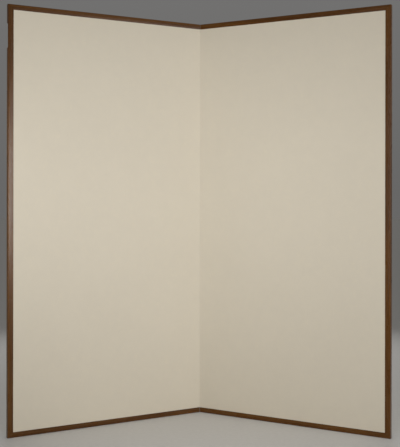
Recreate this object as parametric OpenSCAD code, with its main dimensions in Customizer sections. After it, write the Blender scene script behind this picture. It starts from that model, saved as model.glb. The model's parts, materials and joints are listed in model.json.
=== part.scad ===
// Two-panel folding screen: a softwood lattice core in each panel, papered on both faces,
// with a thin wood frame on the three outer edges and paper hinges at the fold.
// Every part of a panel is drawn in the panel's own axes: x from the fold to the outer edge,
// y from the front of the frame to its back, z up. place_right() and place_left() stand the
// panels in their V. Millimetres.

/* [Screen] */
// Height of the screen
screen_h = 1720; // [1500:10:1820]
// Width of one panel, from the fold to its outer edge
panel_w = 860; // [700:10:900]
// Turn of each panel away from the straight line when the screen stands in its V
rest_angle = 28.5; // [5:0.5:70]

/* [Frame] */
// Width of the frame's face
frame_w = 22; // [18:0.5:28]
// Depth of the frame, front to back
frame_t = 21; // [18:0.5:28]
// Radius of the frame's outer arrises
outer_arris_r = 2; // [1:0.5:6]
// Radius of the frame's inner arrises, beside the paper
inner_arris_r = 1; // [0.5:0.25:2]
// How far the frame stands proud of the paper
frame_proud = 0.6; // [0.2:0.1:2]

/* [Rebate in the left outer stile] */
// Distance from the top of the screen to the rebate
rebate_from_top = 72; // [40:1:200]
// Length of the rebate
rebate_len = 100; // [40:1:150]
// Depth of the rebate into the outer side
rebate_depth = 7; // [4:0.5:9]
// Lip left standing in front of the rebate
rebate_lip = 5; // [4:0.5:10]

/* [Core] */
// Width of the core's stiles and rails
core_member_w = 30; // [24:1:40]
// Width of the lattice strips
strip_w = 18; // [12:1:24]
// Number of upright lattice strips
upright_count = 5; // [3:1:7]
// Number of cross lattice strips
cross_count = 11; // [7:2:15]
// Leg of the triangular blocks in the core's corners
corner_block = 70; // [40:5:80]
// Length of the strips' stub tenons
tenon_len = 8; // [5:1:10]

/* [Paper] */
// Thickness of the lining paper and of the hinge paper
lining_t = 0.4; // [0.2:0.1:0.6]
// Thickness of the cover paper
cover_t = 0.5; // [0.3:0.1:0.8]
// Number of hinge strips up the fold, alternating in direction
hinge_count = 8; // [4:2:12]
// Width of the hinge leaves glued to the panels' faces
leaf_w = 28; // [20:1:40]
// Slit between one hinge strip and the next
hinge_slit = 1; // [0.5:0.5:3]
// Gap between the two panels' edges when the screen is flat
fold_gap = 1; // [1:0.1:2]
// Distance of each hinge line outside the frame's faces
hinge_offset = 0.3; // [0.3:0.1:1]

/* [Fixings] */
// Diameter of the nails and pins
nail_d = 2.4; // [1.6:0.2:3.2]
// Length of each frame nail inside the frame
nail_in_frame = 12; // [8:1:14]
// Length of each frame nail inside the core
nail_in_core = 18; // [10:1:20]
// Number of nails in each outer stile
stile_nails = 6; // [3:1:8]
// Number of nails in each rail
rail_nails = 4; // [2:1:6]
// Length of each mitre key across its joint
mitre_key_len = 16; // [10:1:17]
// Width of each mitre key along its joint
mitre_key_w = 10; // [6:1:12]
// Thickness of each mitre key
mitre_key_t = 3; // [2:0.5:5]

/* [Hidden] */

$fn = 48;
wood = "saddlebrown";
softwood = "burlywood";
cover_paper = "antiquewhite";
lining_paper = "linen";
hinge_paper = "wheat";
metal = "gray";

// Small overrun that lets a cut pass clean through a face
over = 1;
// Layers of a panel, from the front: cover, lining, core, lining, cover
front_cover_y = frame_proud;
front_lining_y = front_cover_y + cover_t;
core_y = front_lining_y + lining_t;
core_t = frame_t - 2 * core_y;
back_lining_y = core_y + core_t;
back_cover_y = back_lining_y + lining_t;
mid_y = frame_t / 2;
// The papered field inside the frame, and the core behind it
field_w = panel_w - frame_w;
field_h = screen_h - 2 * frame_w;
core_x = lining_t;
core_w = field_w - core_x;
bay_w = core_w - 2 * core_member_w;
bay_h = field_h - 2 * core_member_w;
bay_x = core_x + core_member_w;
bay_z = frame_w + core_member_w;
upright_pitch = bay_w / (upright_count + 1);
cross_pitch = bay_h / (cross_count + 1);
tenon_t = core_t / 3;
// Nails: the tapered end and the width of its point
nail_tip = 2 * nail_d;
nail_point_d = nail_d / 8;
// Hinge strips share the papered height equally
hinge_pitch = field_h / hinge_count;
strip_h = hinge_pitch - hinge_slit;
// Lower end of the rebate
rebate_z = screen_h - rebate_from_top - rebate_len;
// Hinge lines lie in the middle of the fold gap
hinge_x = -fold_gap / 2;
// The front hinge line's place in the V, which centres the screen on the origin
reach_front = (panel_w - outer_arris_r - hinge_x) * sin(rest_angle)
    - (hinge_offset + outer_arris_r) * cos(rest_angle) + outer_arris_r;
reach_back = (frame_t + 2 * hinge_offset) * cos(rest_angle)
    + lining_t / 2 * sin(rest_angle);
hinge_y = (reach_front - reach_back) / 2;

// ---- Placing ----

// Stands a panel's part in the right half of the V
module place_right() {
    translate([0, hinge_y, 0])
        rotate([0, 0, -rest_angle])
            translate([-hinge_x, hinge_offset, 0])
                children();
}

// Stands a panel's part in the left half of the V, as the mirror image of the right
module place_left() {
    mirror([1, 0, 0])
        place_right()
            children();
}

// ---- Shapes that repeat ----

// Section of the frame: x from the inner side to the outer, y from front to back
module frame_section() {
    half_w = frame_w / 2;
    translate([0, inner_arris_r])
        square([half_w, frame_t - 2 * inner_arris_r]);
    translate([inner_arris_r, 0])
        square([frame_w - inner_arris_r - outer_arris_r, frame_t]);
    translate([half_w, outer_arris_r])
        square([half_w, frame_t - 2 * outer_arris_r]);
    for (y = [inner_arris_r, frame_t - inner_arris_r])
        translate([inner_arris_r, y])
            circle(inner_arris_r);
    for (y = [outer_arris_r, frame_t - outer_arris_r])
        translate([frame_w - outer_arris_r, y])
            circle(outer_arris_r);
}

// Solid whose outline in x and z is given, through the whole depth of the frame
module through_depth(outline) {
    translate([0, frame_t + over, 0])
        rotate([90, 0, 0])
            linear_extrude(frame_t + 2 * over)
                polygon(outline);
}

// The same shape at the top of the screen as at the bottom
module at_top() {
    translate([0, 0, screen_h])
        mirror([0, 0, 1])
            children();
}

// Centres of the nails along an outer stile and along a rail
function stile_nail_z(i) = frame_w + field_h * (i + 0.5) / stile_nails;
function rail_nail_x(i) = field_w * (i + 0.5) / rail_nails;

// Bores for the nails of the outer stile, running in x
module stile_nail_bores() {
    for (i = [0 : stile_nails - 1])
        translate([field_w - nail_in_core, mid_y, stile_nail_z(i)])
            rotate([0, 90, 0])
                cylinder(d = nail_d, h = nail_in_core + nail_in_frame);
}

// Bores for the nails of the bottom rail, running in z
module rail_nail_bores() {
    for (i = [0 : rail_nails - 1])
        translate([rail_nail_x(i), mid_y, frame_w - nail_in_frame])
            cylinder(d = nail_d, h = nail_in_core + nail_in_frame);
}

// One double-pointed nail along z, starting at the origin
module double_pointed_nail() {
    shank = nail_in_frame + nail_in_core - 2 * nail_tip;
    cylinder(d1 = nail_point_d, d2 = nail_d, h = nail_tip);
    translate([0, 0, nail_tip])
        cylinder(d = nail_d, h = shank);
    translate([0, 0, nail_tip + shank])
        cylinder(d1 = nail_d, d2 = nail_point_d, h = nail_tip);
}

// Key across the lower mitre, half in the rail and half in the stile
module lower_mitre_key() {
    translate([panel_w - frame_w / 2, mid_y, frame_w / 2])
        rotate([0, -45, 0])
            cube([mitre_key_len, mitre_key_t, mitre_key_w], center = true);
}

// Centres of the lattice strips
function upright_x(i) = bay_x + upright_pitch * (i + 1);
function cross_z(j) = bay_z + cross_pitch * (j + 1);

// Stub tenons of the upright strips at the bottom, also the mortises that take them
module upright_tenons() {
    for (i = [0 : upright_count - 1])
        translate([upright_x(i) - strip_w / 2, mid_y - tenon_t / 2, bay_z - tenon_len])
            cube([strip_w, tenon_t, tenon_len]);
}

// Stub tenons of the cross strips at the fold side, also the mortises that take them
module cross_tenons() {
    for (j = [0 : cross_count - 1])
        translate([bay_x - tenon_len, mid_y - tenon_t / 2, cross_z(j) - strip_w / 2])
            cube([tenon_len, tenon_t, strip_w]);
}

// Mirrors the fold side of the core onto its outer side
module at_outer_side() {
    translate([core_x + field_w, 0, 0])
        mirror([1, 0, 0])
            children();
}

// Half of the core's depth at every crossing (i, j) of the lattice where i + j has the given
// parity: the front half for front = 1, the back half for front = 0
module lattice_halvings(parity, front) {
    y = front ? core_y - over : mid_y;
    for (i = [0 : upright_count - 1], j = [0 : cross_count - 1])
        if ((i + j) % 2 == parity)
            translate([upright_x(i) - strip_w / 2, y, cross_z(j) - strip_w / 2])
                cube([strip_w, core_t / 2 + over, strip_w]);
}

// Pins through the half-lapped corners of the core, along y
module corner_pin_set() {
    step = core_member_w / 3;
    for (k = [1, 2])
        translate([core_x + step * k, core_y + over, frame_w + step * k])
            rotate([-90, 0, 0])
                cylinder(d = nail_d, h = core_t - 2 * over);
}

// All eight corner pins of a core
module all_corner_pins() {
    corner_pin_set();
    at_top() corner_pin_set();
    at_outer_side() corner_pin_set();
    at_outer_side() at_top() corner_pin_set();
}

// Core stile at the fold side, its ends halved to the front of the rails
module core_stile() {
    difference() {
        translate([core_x, core_y, frame_w])
            cube([core_member_w, core_t, field_h]);
        for (z = [frame_w - over, bay_z + bay_h])
            translate([core_x - over, mid_y, z])
                cube([core_member_w + 2 * over, core_t, core_member_w + over]);
        cross_tenons();
        all_corner_pins();
    }
}

// Core rail at the bottom, its ends halved to the back of the stiles
module core_rail() {
    difference() {
        translate([core_x, core_y, frame_w])
            cube([core_w, core_t, core_member_w]);
        for (x = [core_x - over, bay_x + bay_w])
            translate([x, mid_y - core_t, frame_w - over])
                cube([core_member_w + over, core_t, core_member_w + 2 * over]);
        upright_tenons();
        all_corner_pins();
        rail_nail_bores();
    }
}

// Height at which hinge strip k starts
function strip_z(k) = frame_w + hinge_pitch * k + hinge_slit / 2;

// Leaf of hinge strip k in the lining layer that starts at y
module hinge_leaf(k, y) {
    translate([0, y, strip_z(k)])
        cube([leaf_w, lining_t, strip_h]);
}

// Leaves of every second hinge strip, starting with strip first
module hinge_leaves(first, y) {
    for (k = [first : 2 : hinge_count - 1])
        hinge_leaf(k, y);
}

// Stretches of every second hinge strip that lie in the fold, against a panel's edge
module fold_strips(first) {
    for (k = [first : 2 : hinge_count - 1])
        translate([hinge_x - lining_t / 2, -hinge_offset, strip_z(k)])
            cube([lining_t, frame_t + 2 * hinge_offset, strip_h]);
}

// ---- Parts of a panel ----

module core_hinge_stile() {
    color(softwood)
        core_stile();
}

module core_outer_stile() {
    color(softwood)
        difference() {
            at_outer_side() core_stile();
            stile_nail_bores();
        }
}

module core_bottom_rail() {
    color(softwood)
        core_rail();
}

module core_top_rail() {
    color(softwood)
        at_top() core_rail();
}

module core_upright_strips() {
    color(softwood)
        difference() {
            union() {
                for (i = [0 : upright_count - 1])
                    translate([upright_x(i) - strip_w / 2, core_y, bay_z])
                        cube([strip_w, core_t, bay_h]);
                upright_tenons();
                at_top() upright_tenons();
            }
            lattice_halvings(0, 1);
            lattice_halvings(1, 0);
        }
}

module core_cross_strips() {
    color(softwood)
        difference() {
            union() {
                for (j = [0 : cross_count - 1])
                    translate([bay_x, core_y, cross_z(j) - strip_w / 2])
                        cube([bay_w, core_t, strip_w]);
                cross_tenons();
                at_outer_side() cross_tenons();
            }
            lattice_halvings(0, 0);
            lattice_halvings(1, 1);
        }
}

// One triangular block in the lower corner at the fold
module corner_block_solid() {
    translate([bay_x, mid_y + tenon_t / 2, bay_z])
        rotate([90, 0, 0])
            linear_extrude(tenon_t)
                polygon([[0, 0], [corner_block, 0], [0, corner_block]]);
}

module core_corner_blocks() {
    color(softwood) {
        corner_block_solid();
        at_top() corner_block_solid();
        at_outer_side() corner_block_solid();
        at_outer_side() at_top() corner_block_solid();
    }
}

module core_corner_pins() {
    color(metal)
        all_corner_pins();
}

// Lining sheet in the layer that starts at y, cut out for the leaves of every second strip
module lining_sheet(first, y) {
    color(lining_paper)
        difference() {
            translate([0, y, frame_w])
                cube([field_w, lining_t, field_h]);
            for (k = [first : 2 : hinge_count - 1])
                translate([-over, y - over, strip_z(k)])
                    cube([leaf_w + over, lining_t + 2 * over, strip_h]);
        }
}

// Cover sheet in the layer that starts at y
module cover_sheet(y) {
    color(cover_paper)
        translate([0, y, frame_w])
            cube([field_w, cover_t, field_h]);
}

module fold_edge_paper() {
    color(hinge_paper)
        translate([0, core_y, frame_w])
            cube([core_x, core_t, field_h]);
}

module bottom_rail() {
    color(wood)
        difference() {
            intersection() {
                translate([0, 0, frame_w])
                    rotate([0, 90, 0])
                        linear_extrude(panel_w)
                            frame_section();
                through_depth([
                    [-over, -over],
                    [panel_w + over, -over],
                    [field_w, frame_w],
                    [-over, frame_w]
                ]);
            }
            rail_nail_bores();
            lower_mitre_key();
        }
}

module top_rail() {
    at_top() bottom_rail();
}

module plain_outer_stile() {
    difference() {
        intersection() {
            translate([field_w, 0, 0])
                linear_extrude(screen_h)
                    frame_section();
            through_depth([
                [panel_w + over, -over],
                [panel_w + over, screen_h + over],
                [field_w, screen_h - frame_w],
                [field_w, frame_w]
            ]);
        }
        stile_nail_bores();
        lower_mitre_key();
        at_top() lower_mitre_key();
    }
}

// Nails of the three frame members, lying in their bores
module frame_nails() {
    color(metal) {
        for (i = [0 : stile_nails - 1])
            translate([field_w - nail_in_core, mid_y, stile_nail_z(i)])
                rotate([0, 90, 0])
                    double_pointed_nail();
        for (i = [0 : rail_nails - 1])
            translate([rail_nail_x(i), mid_y, frame_w - nail_in_frame])
                double_pointed_nail();
        for (i = [0 : rail_nails - 1])
            at_top()
                translate([rail_nail_x(i), mid_y, frame_w - nail_in_frame])
                    double_pointed_nail();
    }
}

module mitre_keys() {
    color(softwood) {
        lower_mitre_key();
        at_top() lower_mitre_key();
    }
}

// ---- Left panel ----

module left_core_hinge_stile() { place_left() core_hinge_stile(); }
module left_core_outer_stile() { place_left() core_outer_stile(); }
module left_core_top_rail() { place_left() core_top_rail(); }
module left_core_bottom_rail() { place_left() core_bottom_rail(); }
module left_core_upright_strips() { place_left() core_upright_strips(); }
module left_core_cross_strips() { place_left() core_cross_strips(); }
module left_core_corner_blocks() { place_left() core_corner_blocks(); }
module left_core_corner_pins() { place_left() core_corner_pins(); }
module left_front_lining() { place_left() lining_sheet(0, front_lining_y); }
module left_back_lining() { place_left() lining_sheet(1, back_lining_y); }
module left_front_cover() { place_left() cover_sheet(front_cover_y); }
module left_back_cover() { place_left() cover_sheet(back_cover_y); }
module left_fold_edge_paper() { place_left() fold_edge_paper(); }
module left_top_rail() { place_left() top_rail(); }
module left_bottom_rail() { place_left() bottom_rail(); }
module left_frame_nails() { place_left() frame_nails(); }
module left_mitre_keys() { place_left() mitre_keys(); }

module left_front_hinge_leaves() {
    color(hinge_paper)
        place_left() hinge_leaves(0, front_lining_y);
}

module left_back_hinge_leaves() {
    color(hinge_paper)
        place_left() hinge_leaves(1, back_lining_y);
}

// The left stile has a rebate in its outer rear arris
module left_outer_stile() {
    color(wood)
        place_left()
            difference() {
                plain_outer_stile();
                translate([panel_w - rebate_depth, rebate_lip, rebate_z])
                    cube([rebate_depth + over, frame_t, rebate_len]);
            }
}

// ---- Right panel ----

module right_core_hinge_stile() { place_right() core_hinge_stile(); }
module right_core_outer_stile() { place_right() core_outer_stile(); }
module right_core_top_rail() { place_right() core_top_rail(); }
module right_core_bottom_rail() { place_right() core_bottom_rail(); }
module right_core_upright_strips() { place_right() core_upright_strips(); }
module right_core_cross_strips() { place_right() core_cross_strips(); }
module right_core_corner_blocks() { place_right() core_corner_blocks(); }
module right_core_corner_pins() { place_right() core_corner_pins(); }
module right_front_lining() { place_right() lining_sheet(1, front_lining_y); }
module right_back_lining() { place_right() lining_sheet(0, back_lining_y); }
module right_front_cover() { place_right() cover_sheet(front_cover_y); }
module right_back_cover() { place_right() cover_sheet(back_cover_y); }
module right_fold_edge_paper() { place_right() fold_edge_paper(); }
module right_top_rail() { place_right() top_rail(); }
module right_bottom_rail() { place_right() bottom_rail(); }
module right_frame_nails() { place_right() frame_nails(); }
module right_mitre_keys() { place_right() mitre_keys(); }

module right_front_hinge_leaves() {
    color(hinge_paper)
        place_right() hinge_leaves(1, front_lining_y);
}

module right_back_hinge_leaves() {
    color(hinge_paper)
        place_right() hinge_leaves(0, back_lining_y);
}

module right_outer_stile() {
    color(wood)
        place_right() plain_outer_stile();
}

// ---- Fold ----

// Strips that run from the left panel's front to the right panel's back
module fold_strips_left_front() {
    color(hinge_paper)
        place_right() fold_strips(0);
}

// Strips that run from the left panel's back to the right panel's front
module fold_strips_left_back() {
    color(hinge_paper)
        place_left() fold_strips(1);
}

left_core_hinge_stile();
left_core_outer_stile();
left_core_top_rail();
left_core_bottom_rail();
left_core_upright_strips();
left_core_cross_strips();
left_core_corner_blocks();
left_core_corner_pins();
left_front_lining();
left_back_lining();
left_front_cover();
left_back_cover();
left_fold_edge_paper();
left_front_hinge_leaves();
left_back_hinge_leaves();
left_top_rail();
left_bottom_rail();
left_outer_stile();
left_frame_nails();
left_mitre_keys();
right_core_hinge_stile();
right_core_outer_stile();
right_core_top_rail();
right_core_bottom_rail();
right_core_upright_strips();
right_core_cross_strips();
right_core_corner_blocks();
right_core_corner_pins();
right_front_lining();
right_back_lining();
right_front_cover();
right_back_cover();
right_fold_edge_paper();
right_front_hinge_leaves();
right_back_hinge_leaves();
right_top_rail();
right_bottom_rail();
right_outer_stile();
right_frame_nails();
right_mitre_keys();
fold_strips_left_front();
fold_strips_left_back();
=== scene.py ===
import json
import math

import bmesh
import bpy
from mathutils import Matrix, Vector


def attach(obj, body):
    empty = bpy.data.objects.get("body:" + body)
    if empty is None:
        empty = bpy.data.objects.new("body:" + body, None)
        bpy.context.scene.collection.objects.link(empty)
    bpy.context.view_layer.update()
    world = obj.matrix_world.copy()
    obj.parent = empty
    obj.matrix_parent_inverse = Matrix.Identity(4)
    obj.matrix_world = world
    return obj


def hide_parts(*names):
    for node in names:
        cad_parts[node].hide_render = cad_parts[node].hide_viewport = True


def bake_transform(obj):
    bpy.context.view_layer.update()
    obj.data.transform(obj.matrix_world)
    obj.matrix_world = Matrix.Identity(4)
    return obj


# Looks of the two-panel folding screen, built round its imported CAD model.
# Lengths are in metres. Each panel has its own axes, measured from its front hinge line:
# x along the panel towards its outer edge, y from front to back, z up.

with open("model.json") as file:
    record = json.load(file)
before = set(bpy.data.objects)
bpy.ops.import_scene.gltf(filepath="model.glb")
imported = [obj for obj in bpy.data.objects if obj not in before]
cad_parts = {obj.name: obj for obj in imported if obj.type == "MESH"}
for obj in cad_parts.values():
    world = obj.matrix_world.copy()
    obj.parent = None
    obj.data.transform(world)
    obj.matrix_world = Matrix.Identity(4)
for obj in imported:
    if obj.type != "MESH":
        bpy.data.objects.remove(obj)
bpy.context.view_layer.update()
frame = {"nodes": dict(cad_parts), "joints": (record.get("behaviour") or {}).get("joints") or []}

MM = 0.001
SIDES = ("left", "right")


# ---- What the frame says ----

JOINTS = {joint["name"]: joint for joint in frame["joints"]}
FRONT_HINGE = Vector(JOINTS["front_fold"]["pos_m"])
BACK_HINGE = Vector(JOINTS["back_fold"]["pos_m"])
DEPTH_AXIS = (BACK_HINGE - FRONT_HINGE).normalized()
HINGE_SPAN = (BACK_HINGE - FRONT_HINGE).length
REST_ANGLE = math.atan2(DEPTH_AXIS.x, DEPTH_AXIS.y)

RIGHT_PANEL = Matrix.Translation(FRONT_HINGE) @ Matrix.Rotation(-REST_ANGLE, 4, "Z")
PANEL = {"right": RIGHT_PANEL, "left": Matrix.Diagonal((-1, 1, 1, 1)) @ RIGHT_PANEL}


def panel_box(side, part):
    """Lowest and highest corner of one of a panel's CAD parts, in the panel's own axes."""
    to_panel = PANEL[side].inverted()
    corners = [to_panel @ v.co for v in frame["nodes"][f"{side}_{part}"].data.vertices]
    low = Vector([min(c[i] for c in corners) for i in range(3)])
    high = Vector([max(c[i] for c in corners) for i in range(3)])
    return low, high


STILE_LOW, STILE_HIGH = panel_box("right", "outer_stile")
COVER_LOW, COVER_HIGH = panel_box("right", "front_cover")
BACK_LOW, BACK_HIGH = panel_box("right", "back_cover")
HEIGHT = STILE_HIGH.z
FACE_W = STILE_HIGH.x - STILE_LOW.x
FRAME_FRONT, FRAME_BACK = STILE_LOW.y, STILE_HIGH.y
EDGE_X = COVER_LOW.x
OUTER_X = STILE_HIGH.x
COVER_T = COVER_HIGH.y - COVER_LOW.y
MID_Y = (FRAME_FRONT + FRAME_BACK) / 2


# ---- Materials ----

def add(tree, kind, inputs=None, **settings):
    """Adds a shader node. inputs maps an input's name or place to a value or a socket."""
    made = tree.nodes.new("ShaderNode" + kind)
    for name, value in settings.items():
        setattr(made, name, value)
    for name, value in (inputs or {}).items():
        if isinstance(value, bpy.types.NodeSocket):
            tree.links.new(value, made.inputs[name])
        else:
            made.inputs[name].default_value = value
    return made


def maths(tree, operation, first, second=0.0, clamp=False):
    """One arithmetic step on sockets or numbers."""
    step = add(tree, "Math", {0: first, 1: second}, operation=operation, use_clamp=clamp)
    return step.outputs[0]


def noise(tree, vector, scale, detail=3.0, roughness=0.5, distortion=0.0):
    """Fractal noise between 0 and 1."""
    sockets = {"Vector": vector, "Scale": scale, "Detail": detail,
               "Roughness": roughness, "Distortion": distortion}
    return add(tree, "TexNoise", sockets).outputs["Fac"]


def spread(tree, value, low, high):
    """Stretches the part of value between low and high to 0 to 1."""
    sockets = {"Value": value, "From Min": low, "From Max": high}
    return add(tree, "MapRange", sockets, clamp=True).outputs["Result"]


def ramp(tree, factor, *stops):
    """Colour ramp through (place, colour) stops."""
    made = add(tree, "ValToRGB", {"Fac": factor})
    elements = made.color_ramp.elements
    while len(elements) < len(stops):
        elements.new(0.5)
    for element, (place, colour) in zip(elements, stops):
        element.position = place
        element.color = (*colour, 1.0)
    return made.outputs["Color"]


def mix_colour(tree, factor, first, second, blend="MIX"):
    """Mixes two colours, given as sockets or as RGB."""
    made = add(tree, "Mix", data_type="RGBA", blend_type=blend)
    for name, value in (("Factor", factor), ("A", first), ("B", second)):
        socket = [s for s in made.inputs if s.name == name and s.enabled][0]
        if isinstance(value, bpy.types.NodeSocket):
            tree.links.new(value, socket)
        elif name == "Factor":
            socket.default_value = value
        else:
            socket.default_value = (*value, 1.0)
    return [s for s in made.outputs if s.enabled][0]


def bump(tree, height, distance, strength=1.0, normal=None):
    """Bump of the given depth in metres, on top of another normal if there is one."""
    sockets = {"Height": height, "Distance": distance, "Strength": strength}
    if normal is not None:
        sockets["Normal"] = normal
    return add(tree, "Bump", sockets).outputs["Normal"]


def new_material(name, **constants):
    """Empty principled material, with the values that are the same all over it."""
    material = bpy.data.materials.new(name)
    material.use_nodes = True
    shader = material.node_tree.nodes["Principled BSDF"]
    for socket, value in constants.items():
        shader.inputs[socket.replace("_", " ")].default_value = value
    return material, material.node_tree, shader


def finish_material(tree, shader, colour, roughness, normal):
    """Joins what varies over the surface to the shader."""
    tree.links.new(colour, shader.inputs["Base Color"])
    tree.links.new(roughness, shader.inputs["Roughness"])
    tree.links.new(normal, shader.inputs["Normal"])


def panel_coordinates(tree, side, scale=(1, 1, 1), offset=(0, 0, 0)):
    """Object coordinates turned into a panel's own directions, then scaled."""
    turn = REST_ANGLE if side == "right" else -REST_ANGLE
    place = add(tree, "TexCoord").outputs["Object"]
    turned = add(tree, "VectorRotate", {"Vector": place, "Angle": turn},
                 rotation_type="Z_AXIS").outputs["Vector"]
    return add(tree, "Mapping", {"Vector": turned, "Scale": scale, "Location": offset}
               ).outputs["Vector"]


FIBRE_BEND = (0.004, 0.004, 0.004)
FIBRE_WIDTH = 0.06


def fibres(tree, coordinates, angle, stretch, scale):
    """Fine long fibres: the edges of a cell network stretched along one direction."""
    turned = add(tree, "Mapping", {"Vector": coordinates, "Rotation": (0, angle, 0)})
    drawn = add(tree, "Mapping", {"Vector": turned.outputs["Vector"], "Scale": (1, 1, stretch)})
    wander = add(tree, "TexNoise", {"Vector": drawn.outputs["Vector"], "Scale": scale / 3})
    bent = add(tree, "VectorMath", {0: wander.outputs["Color"], 1: FIBRE_BEND},
               operation="MULTIPLY").outputs["Vector"]
    moved = add(tree, "VectorMath", {0: drawn.outputs["Vector"], 1: bent},
                operation="ADD").outputs["Vector"]
    cells = add(tree, "TexVoronoi", {"Vector": moved, "Scale": scale},
                feature="DISTANCE_TO_EDGE").outputs["Distance"]
    return spread(tree, cells, FIBRE_WIDTH, 0.0)


def make_paper(name, side, tone, mottling, fibre_show):
    """Handmade paper: soft mottling, long fibres and a fine tooth."""
    material, tree, shader = new_material(name, Specular_IOR_Level=0.25, Sheen_Weight=0.06,
                                          Sheen_Roughness=0.5)
    place = panel_coordinates(tree, side)
    broad = noise(tree, place, 2.2, 2.0)
    clouds = noise(tree, place, 26.0, 4.0, 0.6)
    tooth = noise(tree, place, 1400.0, 2.0, 0.6)
    strands = maths(tree, "MAXIMUM", fibres(tree, place, 0.5, 0.13, 240.0),
                    fibres(tree, place, -0.9, 0.11, 300.0))
    patches = spread(tree, noise(tree, place, 55.0, 2.0), 0.45, 0.7)
    strands = maths(tree, "MULTIPLY", strands, patches)
    shade = maths(tree, "ADD", maths(tree, "MULTIPLY", broad, 0.55),
                  maths(tree, "MULTIPLY", clouds, 0.45))
    darker = [channel * (1 - mottling) for channel in tone]
    lighter = [min(1.0, channel * (1 + mottling)) for channel in tone]
    ground = ramp(tree, shade, (0.3, darker), (0.7, lighter))
    strand_tone = [channel * f for channel, f in zip(tone, (1.06, 1.05, 1.0))]
    colour = mix_colour(tree, maths(tree, "MULTIPLY", strands, fibre_show), ground, strand_tone)
    relief = maths(tree, "ADD", maths(tree, "MULTIPLY", tooth, 0.5),
                   maths(tree, "MULTIPLY", strands, 0.5))
    normal = bump(tree, relief, 0.05 * MM, 0.7)
    normal = bump(tree, clouds, 0.25 * MM, 0.5, normal)
    roughness = maths(tree, "ADD", maths(tree, "MULTIPLY", clouds, 0.1), 0.8)
    finish_material(tree, shader, colour, roughness, normal)
    return material


PORE_TONE = 0.45


def make_wood(name, side, along, tones, satin, seed):
    """Wood with its grain along a panel's x or z, either satin varnished or bare."""
    material, tree, shader = new_material(name, Specular_IOR_Level=0.25 if satin else 0.2)

    def stretched(lengthways, crossways):
        scale = [crossways] * 3
        scale["xyz".index(along)] = lengthways
        return panel_coordinates(tree, side, scale, (seed, seed * 0.7, seed * 1.3))

    dark, mid, light = tones
    figure = noise(tree, stretched(1.2, 28.0), 1.0, 3.0, 0.55, 1.2)
    streaks = noise(tree, stretched(7.0, 420.0), 1.0, 4.0, 0.62)
    pores = spread(tree, noise(tree, stretched(70.0, 1900.0), 1.0, 1.0), 0.62, 0.74)
    blotches = noise(tree, stretched(3.0, 9.0), 1.0, 3.0)
    grain = maths(tree, "ADD", maths(tree, "MULTIPLY", figure, 0.5),
                  maths(tree, "MULTIPLY", streaks, 0.5))
    colour = ramp(tree, grain, (0.32, dark), (0.5, mid), (0.68, light))
    colour = mix_colour(tree, maths(tree, "MULTIPLY", pores, 0.55), colour,
                        [channel * PORE_TONE for channel in dark])
    stain = ramp(tree, blotches, (0.3, (0.82, 0.8, 0.78)), (0.7, (1.0, 1.0, 1.0)))
    colour = mix_colour(tree, 1.0, colour, stain, "MULTIPLY")
    relief = maths(tree, "SUBTRACT", maths(tree, "MULTIPLY", streaks, 0.6), pores)
    normal = bump(tree, relief, 0.06 * MM, 0.6)
    rubbed = noise(tree, stretched(11.0, 60.0), 1.0, 3.0)
    smoothest = 0.22 if satin else 0.62
    roughness = maths(tree, "ADD", maths(tree, "MULTIPLY", rubbed, 0.12), smoothest)
    finish_material(tree, shader, colour, roughness, normal)
    return material


def make_steel(name):
    """Drawn steel wire with a little tarnish."""
    material, tree, shader = new_material(name, Metallic=1.0)
    place = panel_coordinates(tree, "right")
    tarnish = noise(tree, place, 900.0, 4.0, 0.6)
    colour = ramp(tree, tarnish, (0.35, (0.5, 0.49, 0.47)), (0.6, (0.36, 0.33, 0.3)),
                  (0.75, (0.22, 0.13, 0.08)))
    roughness = maths(tree, "ADD", maths(tree, "MULTIPLY", tarnish, 0.3), 0.25)
    finish_material(tree, shader, colour, roughness, bump(tree, tarnish, 0.02 * MM, 0.5))
    return material


COVER_TONE = (0.72, 0.655, 0.535)
LINING_TONE = (0.62, 0.56, 0.45)
HINGE_TONE = (0.71, 0.645, 0.525)
FRAME_TONES = ((0.06, 0.0215, 0.0034), (0.108, 0.0415, 0.0074), (0.165, 0.07, 0.0138))
CORE_TONES = ((0.36, 0.2, 0.1), (0.52, 0.33, 0.18), (0.66, 0.47, 0.28))


def panel_materials(side, seed):
    """The materials of one panel, by what they are on."""
    return {
        "cover": make_paper(f"{side}_cover_paper", side, COVER_TONE, 0.02, 0.5),
        "lining": make_paper(f"{side}_lining_paper", side, LINING_TONE, 0.05, 0.9),
        "hinge": make_paper(f"{side}_hinge_paper", side, HINGE_TONE, 0.03, 0.7),
        "rail": make_wood(f"{side}_rail_wood", side, "x", FRAME_TONES, True, seed),
        "stile": make_wood(f"{side}_stile_wood", side, "z", FRAME_TONES, True, seed + 3.1),
        "core_rail": make_wood(f"{side}_core_rail_wood", side, "x", CORE_TONES, False, seed + 5.3),
        "core_stile": make_wood(f"{side}_core_stile_wood", side, "z", CORE_TONES, False,
                                seed + 7.7),
        "steel": make_steel(f"{side}_nail_steel"),
    }


MATERIALS = {"left": panel_materials("left", 1.7), "right": panel_materials("right", 4.2)}

# CAD parts that keep their own shape, and the material that each gets
KEPT_PARTS = {
    "core_hinge_stile": "core_stile",
    "core_outer_stile": "core_stile",
    "core_top_rail": "core_rail",
    "core_bottom_rail": "core_rail",
    "core_upright_strips": "core_stile",
    "core_cross_strips": "core_rail",
    "core_corner_blocks": "core_rail",
    "core_corner_pins": "steel",
    "front_lining": "lining",
    "back_lining": "lining",
    "fold_edge_paper": "hinge",
    "frame_nails": "steel",
    "mitre_keys": "core_stile",
}


def set_material(piece, material):
    """Gives the whole piece one material, on the object's own slot."""
    if not piece.material_slots:
        piece.data.materials.append(None)
    for held in piece.material_slots:
        held.link = "OBJECT"
        held.material = material


for side in SIDES:
    for part, use in KEPT_PARTS.items():
        set_material(frame["nodes"][f"{side}_{part}"], MATERIALS[side][use])


# ---- Building pieces ----

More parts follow.
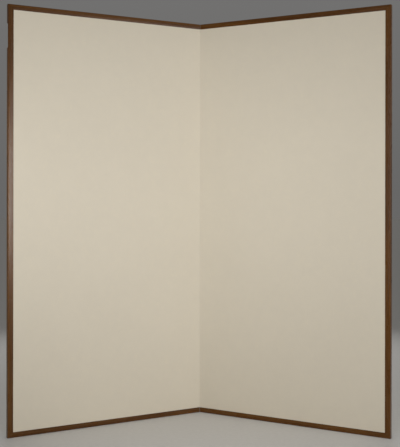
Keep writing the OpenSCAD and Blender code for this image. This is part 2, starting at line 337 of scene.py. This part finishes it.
def make_piece(name, verts, faces, place, material, body, cad_nodes, sharp=35.0):
    """Mesh piece from points in the axes of place. body is None for a piece that spans two bodies; it
    is then left unattached.
    """
    mesh = bpy.data.meshes.new(name)
    mesh.from_pydata([tuple(place @ Vector(v)) for v in verts], [], faces)
    shape = bmesh.new()
    shape.from_mesh(mesh)
    bmesh.ops.recalc_face_normals(shape, faces=shape.faces)
    shape.to_mesh(mesh)
    shape.free()
    mesh.polygons.foreach_set("use_smooth", [True] * len(mesh.polygons))
    mesh.set_sharp_from_angle(angle=math.radians(sharp))
    piece = bpy.data.objects.new(name, mesh)
    bpy.context.scene.collection.objects.link(piece)
    mesh.materials.append(material)
    if body is not None:
        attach(piece, body)
    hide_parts(*cad_nodes)
    return piece


def rings_to_faces(ring_count, ring_size, first=0, capped=True):
    """Faces that join closed rings of points one after another."""
    faces = []
    for ring in range(ring_count - 1):
        for i in range(ring_size):
            a = first + ring * ring_size + i
            b = first + ring * ring_size + (i + 1) % ring_size
            faces.append((a, b, b + ring_size, a + ring_size))
    if capped:
        last = first + (ring_count - 1) * ring_size
        faces.append(tuple(range(first, first + ring_size)))
        faces.append(tuple(range(last, last + ring_size)))
    return faces


def arc(centre, radius, start, stop, steps):
    """Points on an arc, angles in degrees."""
    points = []
    for i in range(steps + 1):
        angle = math.radians(start + (stop - start) * i / steps)
        points.append((centre[0] + radius * math.cos(angle), centre[1] + radius * math.sin(angle)))
    return points


# ---- Frame members ----

OUTER_ARRIS = 2 * MM
INNER_ARRIS = 1 * MM
# The rails' square ends reach into the fold gap by this much
RAIL_REACH = 0.47 * MM
MITRE_EASE = 0.1 * MM
OUTER_ARRIS_STEPS = 10
INNER_ARRIS_STEPS = 4
RAIL_STATIONS = 40
STILE_STATIONS = 80
# The front and back faces sit in by up to this much, as if planed by hand
PLANING = 0.1 * MM
# Rebate in the outer rear arris of the left stile
REBATE_FROM_TOP = 72 * MM
REBATE_LEN = 100 * MM
REBATE_DEPTH = 7 * MM
REBATE_LIP = 5 * MM


def between(first, second, share):
    """Point a share of the way from one point to another."""
    return tuple(a + (b - a) * share for a, b in zip(first, second))


def frame_section(shrink=0.0, rebated=False):
    """Outline of a frame member: (distance from its inner side, depth), drawn in by shrink."""
    outer, inner = OUTER_ARRIS, INNER_ARRIS
    width, front, back = FACE_W, FRAME_FRONT, FRAME_BACK
    lip_end = (width, front + REBATE_LIP)
    floor_back = (width - REBATE_DEPTH, back)
    outline = arc((inner, front + inner), inner - shrink, 180, 270, INNER_ARRIS_STEPS)
    outline += arc((width - outer, front + outer), outer - shrink, 270, 360, OUTER_ARRIS_STEPS)
    if rebated:
        floor_front = (floor_back[0], lip_end[1])
        half = OUTER_ARRIS_STEPS // 2
        outline += [between(lip_end, floor_front, i / half) for i in range(half + 1)]
        outline += [between(floor_front, floor_back, i / (half + 2)) for i in range(1, half + 3)]
    else:
        outline.append((width - shrink, lip_end[1]))
        outline += arc((width - outer, back - outer), outer - shrink, 0, 90, OUTER_ARRIS_STEPS)
        outline.append((floor_back[0], back - shrink))
    outline += arc((inner, back - inner), inner - shrink, 90, 180, INNER_ARRIS_STEPS)
    return outline


def wobble(length, seed):
    """Slow unevenness along a length, from 0 to 1."""
    waves = (math.sin(7.3 * length + seed) + 0.6 * math.sin(17.9 * length + 2.3 * seed)
             + 0.4 * math.sin(41.0 * length + 3.7 * seed))
    return 0.5 + waves / 4


def member_mesh(start_of, stop_of, point_at, stations, seed):
    """Verts and faces of a frame member swept between two ends, each eased over its last bit.

    start_of and stop_of give the length at which a point of the section begins and ends, and
    point_at(length, u, y) gives its place in the panel's axes. stations are the shares of the
    length, with the section at each.
    """
    eased = frame_section(MITRE_EASE)
    ends = [(0.0, 0.0, eased), (0.0, MITRE_EASE, frame_section())]
    rings = ends + [(share, 0.0, section) for share, section in stations]
    rings += [(1.0 - share, -shift, section) for share, shift, section in reversed(ends)]
    verts = []
    for share, shift, section in rings:
        for u, y in section:
            start, stop = start_of(u), stop_of(u)
            length = start + (stop - start) * share + shift
            planed = PLANING * wobble(length, seed)
            verts.append(point_at(length, u, y + (planed if y < MID_Y else -planed)))
    return verts, rings_to_faces(len(rings), len(eased))


def even_stations(count):
    """Plain sections at even steps along a member."""
    return [(i / count, frame_section()) for i in range(1, count)]


def make_rail(side, part, at_top, seed):
    """Top or bottom rail: square at the fold, mitred at the outer corner."""
    def point_at(length, u, y):
        z = FACE_W - u
        return (length, y, HEIGHT - z if at_top else z)

    verts, faces = member_mesh(lambda u: EDGE_X - RAIL_REACH, lambda u: OUTER_X - FACE_W + u,
                               point_at, even_stations(RAIL_STATIONS), seed)
    return make_piece(f"{side}_{part}_finished", verts, faces, PANEL[side],
                      MATERIALS[side]["rail"], f"{side}_panel", [f"{side}_{part}"])


def rebate_stations():
    """Sections up the left stile, rebated between two steps."""
    low = (HEIGHT - REBATE_FROM_TOP - REBATE_LEN) / HEIGHT
    high = (HEIGHT - REBATE_FROM_TOP) / HEIGHT
    plain = even_stations(STILE_STATIONS)
    below = [station for station in plain if station[0] < low]
    above = [station for station in plain if station[0] > high]
    steps = [(low, frame_section()), (low, frame_section(rebated=True)),
             (high, frame_section(rebated=True)), (high, frame_section())]
    return below + steps + above


def make_stile(side, stations, seed):
    """Outer stile, mitred at both ends."""
    verts, faces = member_mesh(lambda u: FACE_W - u, lambda u: HEIGHT - FACE_W + u,
                               lambda length, u, y: (OUTER_X - FACE_W + u, y, length),
                               stations, seed)
    return make_piece(f"{side}_outer_stile_finished", verts, faces, PANEL[side],
                      MATERIALS[side]["stile"], f"{side}_panel", [f"{side}_outer_stile"])


STILE_SECTIONS = {"left": rebate_stations(), "right": even_stations(STILE_STATIONS)}
for side, seed in zip(SIDES, (0.4, 2.9)):
    make_rail(side, "top_rail", True, seed)
    make_rail(side, "bottom_rail", False, seed + 1.0)
    make_stile(side, STILE_SECTIONS[side], seed + 2.0)


# ---- Cover papers ----

SWELL = 0.12 * MM
# Near the fold each cover rises towards the hinge line and ends beside the hinge paper
FOLD_RISE = 0.6 * MM
FOLD_RISE_W = 6 * MM
FOLD_REACH = 0.28 * MM
EDGE_ROUND = 0.15 * MM
EDGE_STEPS = 4
COVER_COLUMNS = 60
COVER_ROWS = 96
# The swelling fades out over this distance from each edge
SWELL_FADE = 30 * MM


def swell(x, z, seed):
    """Faint outward swelling of the pasted paper, from 0 to 1."""
    waves = (math.sin(11.0 * x + 4.0 * z + seed) + math.sin(5.0 * x - 9.0 * z + 2 * seed)
             + 0.7 * math.sin(23.0 * z + 17.0 * x + 3 * seed))
    return 0.5 + waves / 5.4


def smoothstep(value):
    """Eases a value from 0 to 1, held outside that range."""
    held = min(1.0, max(0.0, value))
    return held * held * (3 - 2 * held)


def make_cover(side, part, low, high, outward, seed):
    """Cover sheet: a thin closed sheet. outward is -1 for the front and 1 for the back."""
    columns, rows = COVER_COLUMNS, COVER_ROWS
    face_y = low.y if outward < 0 else high.y
    fold_x = low.x - FOLD_REACH
    verts = []
    for row in range(rows + 1):
        z = low.z + (high.z - low.z) * row / rows
        outer, inner = [], []
        for column in range(columns + 1):
            # columns crowd towards the fold
            share = (column / columns) ** 2
            x = fold_x + EDGE_ROUND + (high.x - fold_x - EDGE_ROUND) * share
            from_edge = min(high.x - x, x - low.x, z - low.z, high.z - z)
            lift = SWELL * swell(x, z, seed) * smoothstep(from_edge / SWELL_FADE)
            rise = FOLD_RISE * (1 - smoothstep((x - fold_x) / FOLD_RISE_W))
            outer.append((x, face_y + outward * (lift + rise), z))
            inner.append((x, face_y + outward * (rise - COVER_T), z))
        tip_y = face_y + outward * (FOLD_RISE - EDGE_ROUND)
        rounding = []
        for step in range(1, EDGE_STEPS + 1):
            angle = math.radians(90 * step / EDGE_STEPS)
            rounding.append((fold_x + EDGE_ROUND * (1 - math.sin(angle)),
                             tip_y + outward * EDGE_ROUND * math.cos(angle), z))
        verts += list(reversed(outer)) + rounding + inner
    size = 2 * (columns + 1) + EDGE_STEPS
    return make_piece(f"{side}_{part}_finished", verts, rings_to_faces(rows + 1, size),
                      PANEL[side], MATERIALS[side]["cover"], f"{side}_panel",
                      [f"{side}_{part}"])


for side, seed in zip(SIDES, (0.0, 5.0)):
    make_cover(side, "front_cover", COVER_LOW, COVER_HIGH, -1, seed)
    make_cover(side, "back_cover", BACK_LOW, BACK_HIGH, 1, seed + 1.5)


# ---- Paper hinges ----

HINGE_COUNT = 8
HINGE_SLIT = 1 * MM
STRIP_T = 0.15 * MM
# The creases turn round the hinge lines: the run beside a panel and the web on either side
RUN_OFFSET = 0.10 * MM
WEB_OFFSET = 0.08 * MM
CREASE_R = 0.09 * MM
CREASE_STEPS = 8
BLEND_TILT = 0.02
CORNER_R = 0.35 * MM
CORNER_STEPS = 5
# The strips' ends are torn a little uneven
DECKLE = 0.25 * MM
DECKLE_PACE_X = 900
DECKLE_PACE_Y = 300
# In a panel's own axes the hinge lines stand this far from its fold edge and its middle
HINGE_X = (PANEL["right"].inverted() @ FRONT_HINGE).x
LEAF_LOW, LEAF_HIGH = panel_box("right", "front_hinge_leaves")
LEAF_FROM_MID = MID_Y - (LEAF_LOW.y + LEAF_HIGH.y) / 2


def to_frame(side, points):
    """Points of a panel's section, turned into the frame's x and y."""
    placed = [PANEL[side] @ Vector((x, y, 0)) for x, y in points]
    return [(point.x, point.y) for point in placed]


def crease(side, hinge, start, stop):
    """Arc round a hinge line, angles in a panel's own axes."""
    centre = PANEL[side].inverted() @ hinge
    return to_frame(side, arc((centre.x, centre.y), CREASE_R, start, stop, CREASE_STEPS))


def leaf_path(side, outward):
    """From the far end of a leaf, under the cover and out to its hinge line."""
    leaf_y = MID_Y + outward * LEAF_FROM_MID
    hinge_y = MID_Y + outward * HINGE_SPAN / 2
    run_x = HINGE_X + RUN_OFFSET
    corner = (run_x + CORNER_R, leaf_y + outward * CORNER_R)
    steps = [math.radians(90 * i / CORNER_STEPS) for i in range(CORNER_STEPS + 1)]
    bend = [(corner[0] - CORNER_R * math.sin(a), corner[1] - outward * CORNER_R * math.cos(a))
            for a in steps]
    return to_frame(side, [(LEAF_HIGH.x, leaf_y), *bend, (run_x, hinge_y - outward * CREASE_R)])


def web_path(side, share_from, share_to):
    """Stretch of a web beside a panel's edge, by its share of the way from front to back."""
    front = (HINGE_X + WEB_OFFSET, MID_Y - HINGE_SPAN / 2 + CREASE_R)
    back = (HINGE_X - WEB_OFFSET, MID_Y + HINGE_SPAN / 2 - CREASE_R)
    return to_frame(side, [between(front, back, share_from), between(front, back, share_to)])


def strip_mesh(path, first):
    """Verts and faces of every second strip, starting with strip first, along one path."""
    outline, back_side = [], []
    for i, (x, y) in enumerate(path):
        before, after = path[max(i - 1, 0)], path[min(i + 1, len(path) - 1)]
        along = Vector((after[0] - before[0], after[1] - before[1])).normalized()
        across = Vector((-along.y, along.x)) * STRIP_T / 2
        outline.append((x + across.x, y + across.y))
        back_side.append((x - across.x, y - across.y))
    outline += reversed(back_side)
    pitch = (COVER_HIGH.z - COVER_LOW.z) / HINGE_COUNT
    verts, faces = [], []
    for k in range(first, HINGE_COUNT, 2):
        start = len(verts)
        z_low = COVER_LOW.z + pitch * k + HINGE_SLIT / 2
        for z, inward in ((z_low, 1), (z_low + pitch - HINGE_SLIT, -1)):
            for x, y in outline:
                deckle = DECKLE * wobble(DECKLE_PACE_X * x + DECKLE_PACE_Y * y, k + inward)
                verts.append((x, y, z + inward * deckle))
        faces += rings_to_faces(2, len(outline), start)
    return verts, faces


def make_strips(side, end, path, first, cad_nodes, body=None, bend=None):
    """Hinge papers along one path, glued to one end of a panel, 'front' or 'back'.

    bend is (body, body, start, end) where they cross a joint. Its entries are not used: when it is
    given, the piece's place is baked into its mesh.
    """
    verts, faces = strip_mesh(path, first)
    piece = make_piece(f"{side}_{end}_hinge_papers", verts, faces, Matrix(),
                       MATERIALS[side]["hinge"], body, cad_nodes)
    if bend:
        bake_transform(piece)
    return piece


def section_point(side, x, y):
    """Point of a panel's section at floor height, in the frame."""
    return PANEL[side] @ Vector((x, y, 0))


def back_crease_ends(side):
    """Points on the leaf's and the web's side of a back crease. The line through them is tilted
    a little, so that the whole web lies past the second one.
    """
    hinge_y = MID_Y + HINGE_SPAN / 2
    reach = WEB_OFFSET / 2
    return (section_point(side, HINGE_X + reach, hinge_y + BLEND_TILT * reach),
            section_point(side, HINGE_X - reach, hinge_y - BLEND_TILT * reach))


def make_front_to_back_strips():
    """Strips from the left panel's front to the right panel's back, in two lengths."""
    bend_y = MID_Y - HINGE_SPAN / 2 + 5 * CREASE_R
    start = section_point("left", HINGE_X + RUN_OFFSET, bend_y)
    stop = section_point("right", HINGE_X + WEB_OFFSET, bend_y)
    turn = math.degrees(REST_ANGLE)
    tip = arc((FRONT_HINGE.x, FRONT_HINGE.y), CREASE_R, 180 + turn, 360 - turn, CREASE_STEPS)
    path = leaf_path("left", -1) + tip + web_path("right", 0.0, 0.5)
    make_strips("left", "front", path, 0, ["left_front_hinge_leaves"],
                bend=("left_panel", "front_link", start, stop))
    path = web_path("right", 0.5, 1.0) + crease("right", BACK_HINGE, 180, 0)
    path += reversed(leaf_path("right", 1))
    stop, start = back_crease_ends("right")
    make_strips("right", "back", path, 0,
                ["fold_strips_left_front", "right_back_hinge_leaves"],
                bend=("front_link", "right_panel", start, stop))


def make_back_to_front_strips():
    """Strips from the left panel's back to the right panel's front, in two lengths."""
    left_back = Vector((-BACK_HINGE.x, BACK_HINGE.y, 0))
    path = leaf_path("left", 1) + crease("left", left_back, 0, 180)
    path += reversed(web_path("left", 0.0, 1.0))
    path += crease("left", FRONT_HINGE, 0, -90 + math.degrees(REST_ANGLE))
    start, stop = back_crease_ends("left")
    make_strips("left", "back", path, 1,
                ["left_back_hinge_leaves", "fold_strips_left_back"],
                bend=("left_panel", "back_link", start, stop))
    path = leaf_path("right", -1)
    path += crease("right", FRONT_HINGE, 0, -90 + math.degrees(REST_ANGLE))
    make_strips("right", "front", path, 1, ["right_front_hinge_leaves"],
                body="right_panel")


make_front_to_back_strips()
make_back_to_front_strips()


# ---- Stage, camera and light ----

FLOOR_TONES = ((0.61, 0.60, 0.58), (0.64, 0.63, 0.61))
FLOOR_SIZE = 60
HORIZON_TONE = (0.138, 0.136, 0.133)
OVERHEAD_TONE = (0.24, 0.237, 0.232)
CAMERA_LEAN = math.radians(0.084)
LIGHT_HEIGHT = 1.05


def make_floor():
    """Plain pale floor, far wider than the view."""
    material, tree, shader = new_material("pale_floor", Specular_IOR_Level=0.2)
    place = add(tree, "TexCoord").outputs["Object"]
    speckle = noise(tree, place, 60.0, 3.0)
    colour = ramp(tree, speckle, (0.3, FLOOR_TONES[0]), (0.7, FLOOR_TONES[1]))
    roughness = maths(tree, "ADD", maths(tree, "MULTIPLY", speckle, 0.1), 0.8)
    finish_material(tree, shader, colour, roughness, bump(tree, speckle, 0.1 * MM, 0.3))
    bpy.ops.mesh.primitive_plane_add(size=FLOOR_SIZE, location=(0, 0, 0))
    floor = bpy.context.object
    floor.name = "floor"
    floor.data.materials.append(material)


def make_camera():
    """Level camera in front of the V, leaning a hair sideways, its view shifted left and down."""
    data = bpy.data.cameras.new("camera")
    data.sensor_width = 36
    data.lens = 68.22
    data.shift_x = -0.0155
    data.shift_y = -0.0667
    camera = bpy.data.objects.new("camera", data)
    camera.location = (0.0303, -3.5644, 0.9696)
    camera.rotation_euler = (math.pi / 2, -CAMERA_LEAN, 0)
    bpy.context.scene.collection.objects.link(camera)
    bpy.context.scene.camera = camera


def make_softbox(name, place, aim, width, tall, spread_angle, power, shows="both"):
    """White area light at place, facing aim, its spread narrowed as by a grid.

    shows is "surface" if it only lights, "gloss" if only reflections show it, or "both".
    """
    data = bpy.data.lights.new(name, "AREA")
    data.shape = "RECTANGLE"
    data.size, data.size_y = width, tall
    data.spread = math.radians(spread_angle)
    data.energy = power
    light = bpy.data.objects.new(name, data)
    light.location = place
    light.rotation_euler = (Vector(aim) - Vector(place)).to_track_quat("-Z", "Y").to_euler()
    light.visible_camera = False
    light.visible_diffuse = shows != "gloss"
    light.visible_glossy = shows != "surface"
    bpy.context.scene.collection.objects.link(light)


def make_lights():
    """Soft light from the front and both sides, and a pair behind."""
    middle = Vector((0, 0, LIGHT_HEIGHT))
    make_softbox("front_softbox", (0, -1.9, LIGHT_HEIGHT), middle, 0.5, 0.5, 180, 7.15, shows="surface")
    aim_left = middle - Vector((0.4, 0, 0))
    aim_right = middle + Vector((0.4, 0, 0))
    make_softbox("right_softbox", (2.4, -1.9, 1.1), aim_left, 0.9, 1.2, 100, 11.7)
    make_softbox("left_softbox", (-1.6, -1.3, 1.1), aim_right, 0.5, 0.9, 90, 4.3, shows="surface")
    # Narrow lights that the stiles mirror to the camera, the left one more than the right one
    make_softbox("left_stile_softbox", (0.97, -2.0, 0.97), (-0.76, -0.2, 0.97), 0.2, 0.8, 70, 2.15,
                 shows="gloss")
    make_softbox("right_stile_softbox", (-0.97, -2.0, 1.15), (0.76, -0.2, 1.15), 0.2, 1.6, 90, 1,
                 shows="gloss")
    for name, x in (("rear_left_softbox", -1.2), ("rear_right_softbox", 1.2)):
        make_softbox(name, (x, 3.0, 1.4), middle, 0.9, 1.2, 120, 12, shows="surface")


def make_world():
    """Grey surroundings, as dark at the horizon as the far floor and brighter overhead."""
    world = bpy.data.worlds.new("studio")
    world.use_nodes = True
    tree = world.node_tree
    direction = add(tree, "TexCoord").outputs["Generated"]
    up = add(tree, "SeparateXYZ", {"Vector": direction}).outputs["Z"]
    colour = ramp(tree, up, (0.0, HORIZON_TONE), (0.8, OVERHEAD_TONE))
    tree.links.new(colour, tree.nodes["Background"].inputs["Color"])
    bpy.context.scene.world = world


make_floor()
make_camera()
make_lights()
make_world()
bpy.context.scene.view_settings.view_transform = "Standard"
